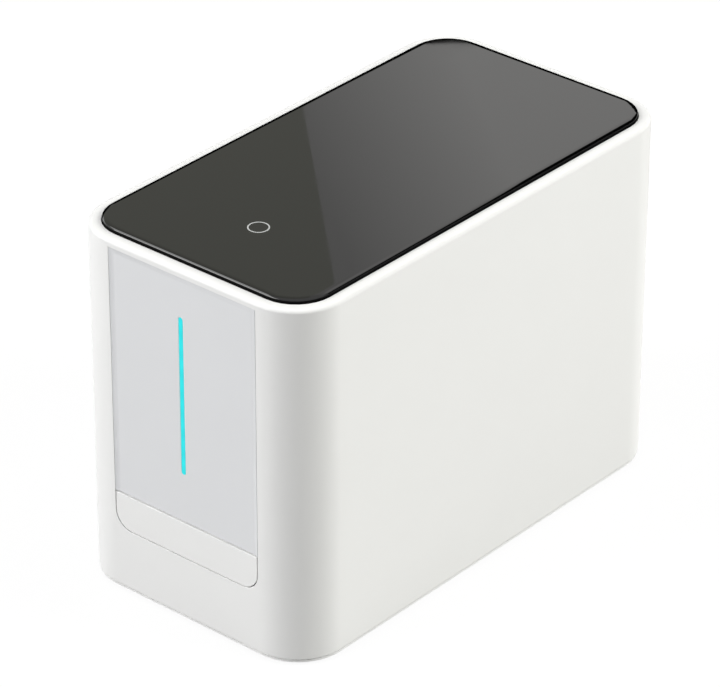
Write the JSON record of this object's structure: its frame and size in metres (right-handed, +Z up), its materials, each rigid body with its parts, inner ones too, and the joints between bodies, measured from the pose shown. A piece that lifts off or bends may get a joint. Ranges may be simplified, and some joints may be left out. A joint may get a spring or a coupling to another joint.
{
  "type": "phosphor plate scanner",
  "caption": "Desktop phosphor plate scanner: white rounded housing, black glass top with touch ring, grey front panel with a vertical light bar, and a motor-driven plate tray.",
  "frame": {"origin": "on the surface that it stands on, under the middle of the housing", "axes": "+Z up, the front with the plate tray faces -Y, +X to the right seen from the front"},
  "size_m": [0.1102, 0.2062, 0.1454],
  "materials": {
    "white_moulding": "satin",
    "black_glass": "polished",
    "grey_panel": "satin",
    "cyan_light": "lit, satin",
    "dark_moulding": "satin",
    "black_rubber": "matte",
    "steel": "satin",
    "aluminium": "satin",
    "brass": "satin",
    "acetal": "satin",
    "circuit": "satin",
    "blue_filter": "polished",
    "mirror_silver": "polished",
    "adhesive": "matte"
  },
  "bodies": {
    "scanner": {"housing": "white_moulding", "glass_top": "black_glass", "front_panel": "grey_panel", "light_bar": "cyan_light", "glass_adhesive": "adhesive", "touch_board": "circuit", "light_board": "circuit", "rail_left": "acetal", "rail_right": "acetal", "drive_axle": "steel", "drive_motor": "steel", "gear_bracket": "steel", "base_plate": "dark_moulding", "base_screw_front_left": "steel", "base_screw_front_right": "steel", "base_screw_rear_left": "steel", "base_screw_rear_right": "steel", "foot_front_left": "black_rubber", "foot_front_right": "black_rubber", "foot_rear_left": "black_rubber", "foot_rear_right": "black_rubber", "scan_hood": "dark_moulding", "head_plate": "aluminium", "galvo_x": "steel", "galvo_y": "steel", "galvo_mount": "aluminium", "laser_mount": "aluminium", "laser_module": "brass", "light_filter": "blue_filter", "photomultiplier": "aluminium", "detector_stand": "dark_moulding", "eraser_lamp_left": "circuit", "eraser_lamp_right": "circuit", "main_board": "circuit", "high_voltage_supply": "aluminium", "usb_port": "steel", "power_inlet": "dark_moulding", "rear_panel": "dark_moulding", "switch_frame": "dark_moulding", "fan_frame": "dark_moulding"},
    "tray": {"tray_front": "white_moulding", "plate_tray": "dark_moulding", "tray_rack": "acetal"},
    "gear": {"drive_gear": "acetal"},
    "pinion": {"motor_pinion": "brass"},
    "mirror_x": {"scan_mirror_x": "mirror_silver"},
    "mirror_y": {"scan_mirror_y": "mirror_silver"},
    "fan": {"fan_rotor": "dark_moulding"},
    "rocker": {"switch_rocker": "dark_moulding"}
  },
  "joints": [
    {"name": "tray_slide", "type": "slide", "parent": "scanner", "child": "tray", "axis": [0, -1, 0], "range_m": [0, 0.092]},
    {"name": "gear_spin", "type": "hinge", "parent": "scanner", "child": "gear", "pos_m": [0.016, -0.082, 0.01865], "axis": [1, 0, 0], "range_deg": [0, 545]},
    {"name": "pinion_spin", "type": "hinge", "parent": "scanner", "child": "pinion", "pos_m": [0.016, -0.06544, 0.0148], "axis": [1, 0, 0], "range_deg": [-780, 0]},
    {"name": "mirror_x_swing", "type": "hinge", "parent": "scanner", "child": "mirror_x", "pos_m": [-0.034, -0.048, 0.1264], "axis": [0, 0, 1], "range_deg": [-12, 12]},
    {"name": "mirror_y_swing", "type": "hinge", "parent": "scanner", "child": "mirror_y", "pos_m": [0, -0.048, 0.1264], "axis": [0, 1, 0], "range_deg": [-12, 12]},
    {"name": "fan_spin", "type": "hinge", "parent": "scanner", "child": "fan", "pos_m": [0, 0.095, 0.092], "axis": [0, 1, 0], "continuous": true},
    {"name": "rocker_tilt", "type": "hinge", "parent": "scanner", "child": "rocker", "pos_m": [0.01964, 0.0991, 0.02], "axis": [0, 0, 1], "range_deg": [0, 18]}
  ],
  "couplings": [
    {"joint": "gear_spin", "follows": "tray_slide", "rad_per_m": 100},
    {"joint": "pinion_spin", "follows": "tray_slide", "rad_per_m": -142.86}
  ]
}
